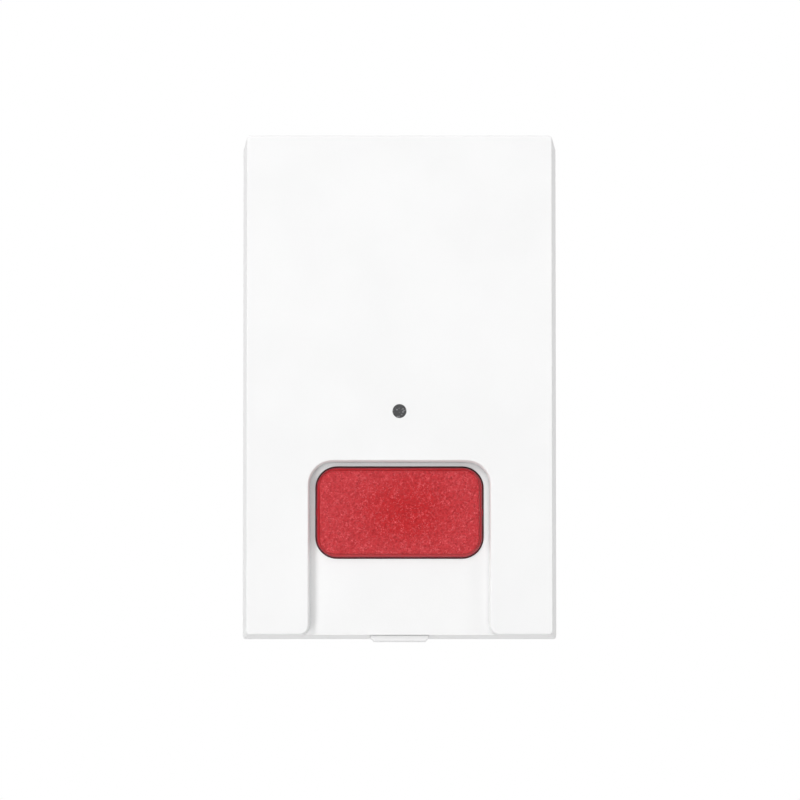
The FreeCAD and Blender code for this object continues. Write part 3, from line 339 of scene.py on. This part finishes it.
def smoked_window():
    """Smoked indicator window with small painted glints mottled into its colour."""
    smoke, dark, painted_glint_grey = (0.05, 0.05, 0.052), (0.032, 0.032, 0.034), (0.26, 0.26, 0.27)
    cell_scale, cell_size, cloud_scale, cloud_edge = 2300.0, (0.05, 0.50), 1900.0, (0.36, 0.66)
    grain_scale, grain_height = 2600.0, 0.00006
    material, tree, shader = new_material("smoked_window", smoke, 0.22, Coat_Weight=0.5,
                                          Coat_Roughness=0.08)
    # Painted highlights: scattered pale cells in the colour stand in for glints
    cells = ramp(tree, voronoi(tree, cell_scale), *cell_size, 1.0, 0.0)
    cloud = ramp(tree, noise(tree, cloud_scale, 3.0), *cloud_edge)
    painted_glints = maths(tree, "MULTIPLY", cells, cloud)
    tree.links.new(mix(tree, painted_glints, dark, painted_glint_grey), shader.inputs["Base Color"])
    tree.links.new(bump(tree, noise(tree, grain_scale), grain_height, 0.8), shader.inputs["Normal"])
    return material


def stripes(tree, place, pitch, share):
    """Parallel lines across a coordinate, each taking a share of the pitch."""
    soft = 0.03
    step = maths(tree, "FRACT", maths(tree, "MULTIPLY", place, 1 / pitch))
    away = maths(tree, "ABSOLUTE", maths(tree, "SUBTRACT", step, 0.5))
    return ramp(tree, away, share / 2 - soft, share / 2 + soft, 1.0, 0.0)


def circuit_laminate():
    """Green solder mask over groups of tracks and tinned vias, with bare laminate at the cut edges."""
    green, copper, tin = (0.016, 0.105, 0.040), (0.034, 0.20, 0.075), (0.60, 0.59, 0.56)
    laminate, hole_shade = (0.33, 0.30, 0.17), (0.01, 0.01, 0.01)
    block_scale, via_scale, track_pitch, track_share = 150.0, 170.0, 0.9 * MM, 0.36
    level_below, upright_above, via_edge, hole_edge = 0.46, 0.56, (0.060, 0.068), (0.028, 0.034)
    edge_from, edge_to = 0.04 * MM, 0.01 * MM
    weave_scale, weave_height, track_height = 2400.0, 0.00001, 0.00004

    material, tree, shader = new_material("circuit_laminate", green, 0.3, Coat_Weight=0.4)
    apart = add(tree, "ShaderNodeSeparateXYZ", Vector=spot(tree)).outputs
    flat = add(tree, "ShaderNodeCombineXYZ", X=apart["X"], Y=apart["Z"]).outputs[0]
    blocks = add(tree, "ShaderNodeTexVoronoi", {"voronoi_dimensions": "2D", "distance": "CHEBYCHEV"},
                 Vector=flat, Scale=block_scale, Randomness=0.7)
    choice = maths(tree, "MULTIPLY", blocks.outputs["Color"], 1.0)
    level = maths(tree, "LESS_THAN", choice, level_below)
    upright = maths(tree, "GREATER_THAN", choice, upright_above)
    lines = maths(tree, "MAXIMUM",
                  maths(tree, "MULTIPLY", level, stripes(tree, apart["Z"], track_pitch, track_share)),
                  maths(tree, "MULTIPLY", upright, stripes(tree, apart["X"], track_pitch, track_share)))
    centre = add(tree, "ShaderNodeTexVoronoi", {"voronoi_dimensions": "2D"}, Vector=flat,
                 Scale=via_scale, Randomness=0.9).outputs["Distance"]
    via = ramp(tree, centre, *via_edge, 1.0, 0.0)
    hole = ramp(tree, centre, *hole_edge, 1.0, 0.0)
    front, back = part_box("circuit_board")
    depth = maths(tree, "ABSOLUTE", maths(tree, "SUBTRACT", apart["Y"], (front.y + back.y) / 2))
    half = (back.y - front.y) / 2
    face = ramp(tree, depth, half - edge_from, half - edge_to, 1.0, 0.0)
    tracked = mix(tree, via, mix(tree, lines, green, copper), tin)
    # Painted shade: a near-black dot in each via stands in for the shade inside its hole
    drilled = mix(tree, hole, tracked, hole_shade)
    tree.links.new(mix(tree, face, drilled, laminate), shader.inputs["Base Color"])
    sunk = maths(tree, "MULTIPLY", hole, 2.0)
    raised = maths(tree, "SUBTRACT", maths(tree, "MAXIMUM", lines, via), sunk)
    weave = bump(tree, noise(tree, weave_scale, 2.0), weave_height, 0.6)
    tree.links.new(bump(tree, raised, track_height, 0.8, weave), shader.inputs["Normal"])
    return material


def cell_sleeve():
    """Plain shrink sleeve with a lighter band, bare metal at both ends."""
    sleeve, amber, steel = (0.035, 0.05, 0.09), (0.72, 0.42, 0.06), (0.62, 0.61, 0.58)
    band_edge, base_edge, nub_edge = (0.66, 0.67), 0.08 * MM, (1.35 * MM, 1.25 * MM)
    wrinkle_scale, wrinkle_height = 180.0, 0.0001
    material, tree, shader = new_material("cell_sleeve", sleeve, 0.3, Coat_Weight=0.3)
    left, right = (corner.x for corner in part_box("battery"))
    along = add(tree, "ShaderNodeSeparateXYZ", Vector=spot(tree)).outputs["X"]
    band = ramp(tree, along, *(left + share * (right - left) for share in band_edge))
    colour = mix(tree, band, sleeve, amber)
    base = ramp(tree, along, left, left + base_edge, 1.0, 0.0)
    nub = ramp(tree, along, right - nub_edge[0], right - nub_edge[1])
    bare = maths(tree, "MAXIMUM", base, nub)
    tree.links.new(mix(tree, bare, colour, steel), shader.inputs["Base Color"])
    tree.links.new(bare, shader.inputs["Metallic"])
    wrinkles = bump(tree, noise(tree, wrinkle_scale), wrinkle_height, 0.4)
    tree.links.new(wrinkles, shader.inputs["Normal"])
    return material


def dress(material, *nodes):
    for node in nodes:
        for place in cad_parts[node].material_slots:
            place.material = material


def dress_all():
    dress(white_housing(), "front_cover", "rear_base")
    dress(red_button(), "button_cap")
    dress(smoked_window(), "light_pipe")
    for name, (colour, roughness, grain, depth, wear, nodes) in MOULDINGS.items():
        dress(moulded(name, colour, roughness, grain, depth, wear), *nodes)
    dress(moulded("lamp_resin", *LAMP_RESIN, Transmission_Weight=LAMP_CLEAR), "indicator_led")
    for name, (colour, roughness, streaks, nodes) in METALS.items():
        dress(metal(name, colour, roughness, streaks), *nodes)
    dress(circuit_laminate(), "circuit_board")
    dress(cell_sleeve(), "battery")


def live_spring(node):
    """The CAD spring's own coil as a piece of its own, hung on the cover's body."""
    coil = bpy.data.objects.new(f"{node}_coil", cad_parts[node].data.copy())
    bpy.context.scene.collection.objects.link(coil)
    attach(coil, "cover")
    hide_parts(node)
    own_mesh(coil)


def aim(thing, target):
    thing.rotation_euler = (target - thing.location).to_track_quat("-Z", "Y").to_euler()


def make_camera():
    """Camera below the object, looking slightly up, as the photograph was taken."""
    data = bpy.data.cameras.new("camera")
    data.sensor_width = SENSOR_MM
    data.lens = SENSOR_MM * CAMERA_DISTANCE / (IMAGE_PX / PX_PER_MM * MM)
    data.clip_start, data.clip_end = CLIP_START, CLIP_END
    camera = bpy.data.objects.new("camera", data)
    bpy.context.scene.collection.objects.link(camera)
    half = IMAGE_PX / 2
    target = Vector(((half - FRONT_CENTRE_PX) / PX_PER_MM * MM, FRONT_Y,
                     FRONT_LOW_Z + (FRONT_BOTTOM_PX - half) / PX_PER_MM * MM))
    rise = math.radians(CAMERA_RISE_DEG)
    camera.location = target - CAMERA_DISTANCE * Vector((0, math.cos(rise), math.sin(rise)))
    aim(camera, target)
    bpy.context.scene.camera = camera


def soft_box(name, place, side, power):
    """Square lamp that faces the object."""
    data = bpy.data.lights.new(name, "AREA")
    data.shape = "RECTANGLE"
    data.size = data.size_y = side
    data.energy = power
    lamp = bpy.data.objects.new(name, data)
    bpy.context.scene.collection.objects.link(lamp)
    lamp.location = place
    aim(lamp, Vector((0, 0, 0)))


def seen_by_lens(tree):
    """1 for camera, mirror and clear rays, which see the white background."""
    path = add(tree, "ShaderNodeLightPath").outputs
    either = maths(tree, "MAXIMUM", path["Is Camera Ray"], path["Is Glossy Ray"])
    return maths(tree, "MAXIMUM", either, path["Is Transmission Ray"])


def make_world(ambient):
    world = bpy.data.worlds.new("studio")
    bpy.context.scene.world = world
    world.use_nodes = True
    tree = world.node_tree
    background = tree.nodes["Background"]
    background.inputs["Color"].default_value = (1, 1, 1, 1)
    strength = ramp(tree, seen_by_lens(tree), 0.0, 1.0, ambient, 1.0)
    tree.links.new(strength, background.inputs["Strength"])


def make_floor():
    """Pale floor well below the object, which hangs as on a wall."""
    half, low, pale, own_glow = 3.0, -0.75, (0.86, 0.86, 0.86), 0.42
    mesh = bpy.data.meshes.new("floor")
    corners = [(-half, -half, low), (half, -half, low), (half, half, low), (-half, half, low)]
    mesh.from_pydata(corners, [], [(0, 1, 2, 3)])
    floor = bpy.data.objects.new("floor", mesh)
    bpy.context.scene.collection.objects.link(floor)
    material, tree, shader = new_material("floor", pale, 0.7)
    mottle(tree, shader, pale, 6.0, 0.01)
    shader.inputs["Emission Color"].default_value = (1, 1, 1, 1)
    glow = ramp(tree, seen_by_lens(tree), 0.0, 1.0, 0.0, own_glow)
    tree.links.new(glow, shader.inputs["Emission Strength"])
    mesh.materials.append(material)


def make_light():
    """Even tent light and the lamps."""
    make_world(AMBIENT)
    for name, place, side, power in LAMPS:
        soft_box(name, Vector(place), side, power)


dress_all()
for spring in ("button_spring_left", "button_spring_right"):
    live_spring(spring)
make_camera()
make_light()
make_floor()
scene = bpy.context.scene
scene.view_settings.view_transform = "Standard"
